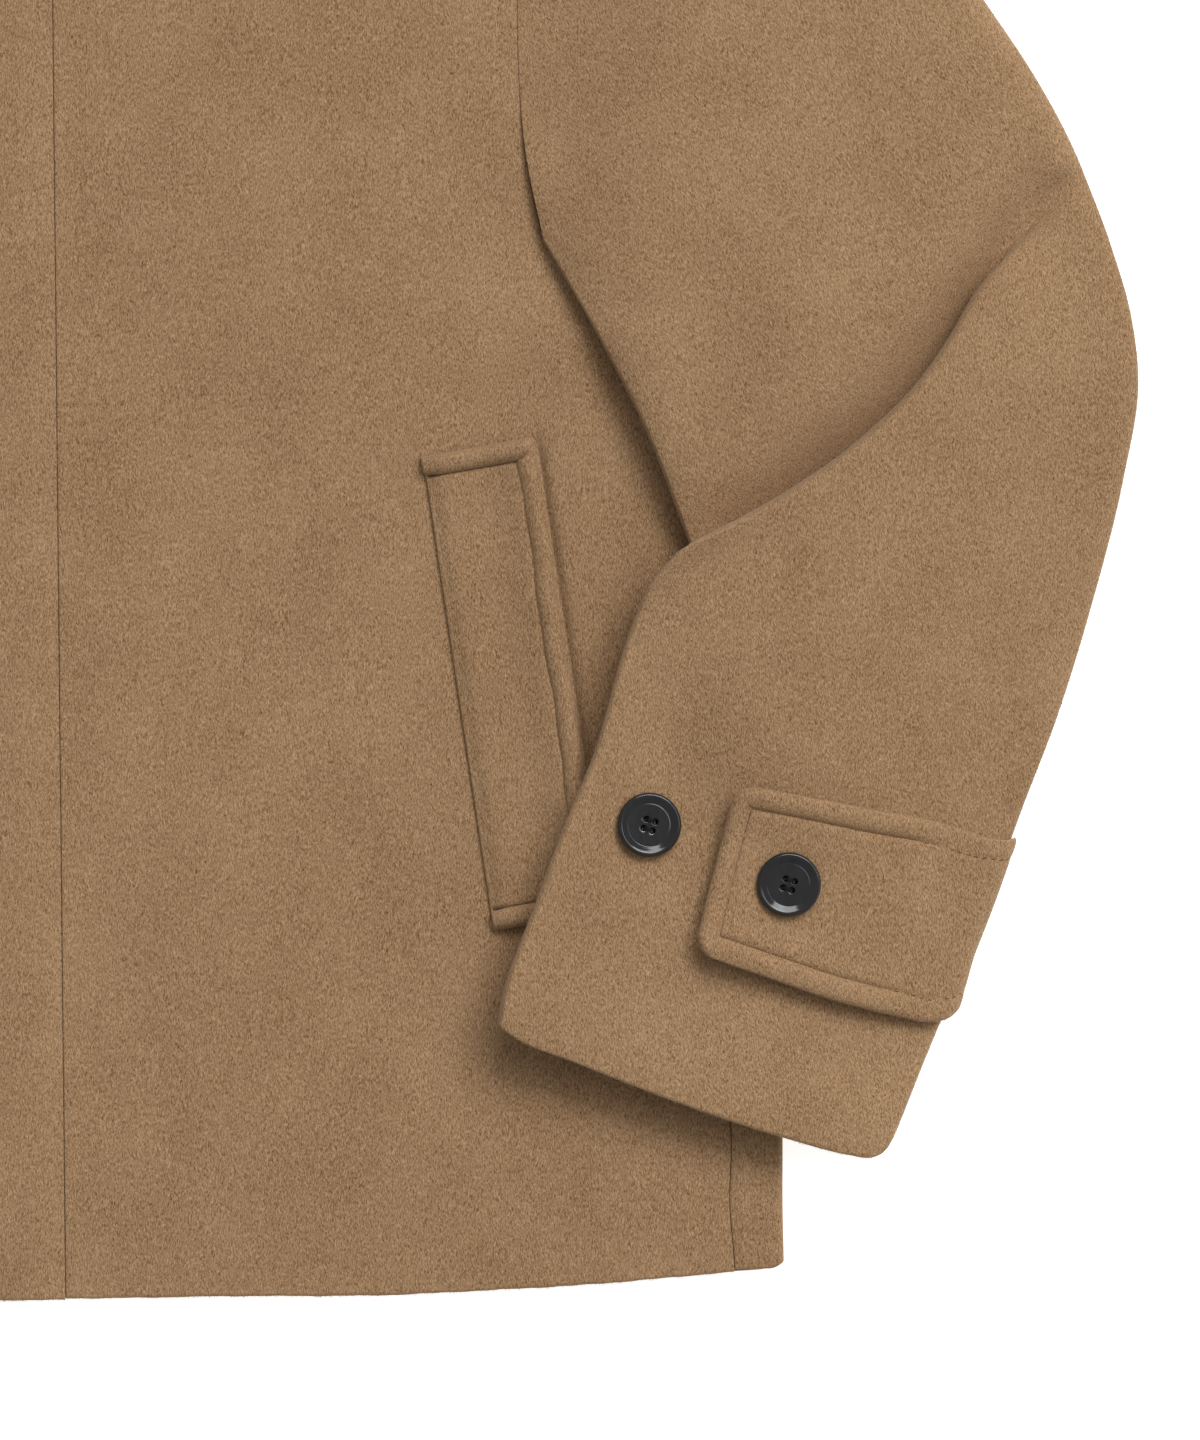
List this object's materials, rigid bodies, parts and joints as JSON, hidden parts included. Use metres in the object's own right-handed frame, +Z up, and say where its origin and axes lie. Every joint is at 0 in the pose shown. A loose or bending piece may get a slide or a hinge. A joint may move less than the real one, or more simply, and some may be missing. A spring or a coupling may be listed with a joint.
{
  "type": "mackintosh coat",
  "caption": "Short fly-front mackintosh coat in brushed wool, laid flat face up, with a turn-down collar, slanted welt pockets and bent sleeves with buttoned tabs.",
  "frame": {"origin": "centre of the bounding box in plan, on the surface the coat lies on", "axes": "+X to the wearer's left across the sleeves, +Y from the hem to the collar, +Z up off the surface and out of the coat's front"},
  "size_m": [0.8618, 0.7121, 0.0233],
  "materials": {
    "wool": "brushed, matt, short nap",
    "button": "polished"
  },
  "bodies": {
    "root": {"back": "wool", "collar_back": "wool", "collar_left": "wool", "collar_right": "wool", "front_band_left": "wool", "front_left": "wool", "front_right": "wool", "sleeve_left_forearm": "wool", "sleeve_left_upper": "wool", "sleeve_right_forearm": "wool", "sleeve_right_upper": "wool", "tab_left": "wool", "tab_right": "wool", "welt_left": "wool", "welt_right": "wool", "button_left_sleeve": "button", "button_left_tab": "button", "button_right_sleeve": "button", "button_right_tab": "button"}
  },
  "joints": []
}
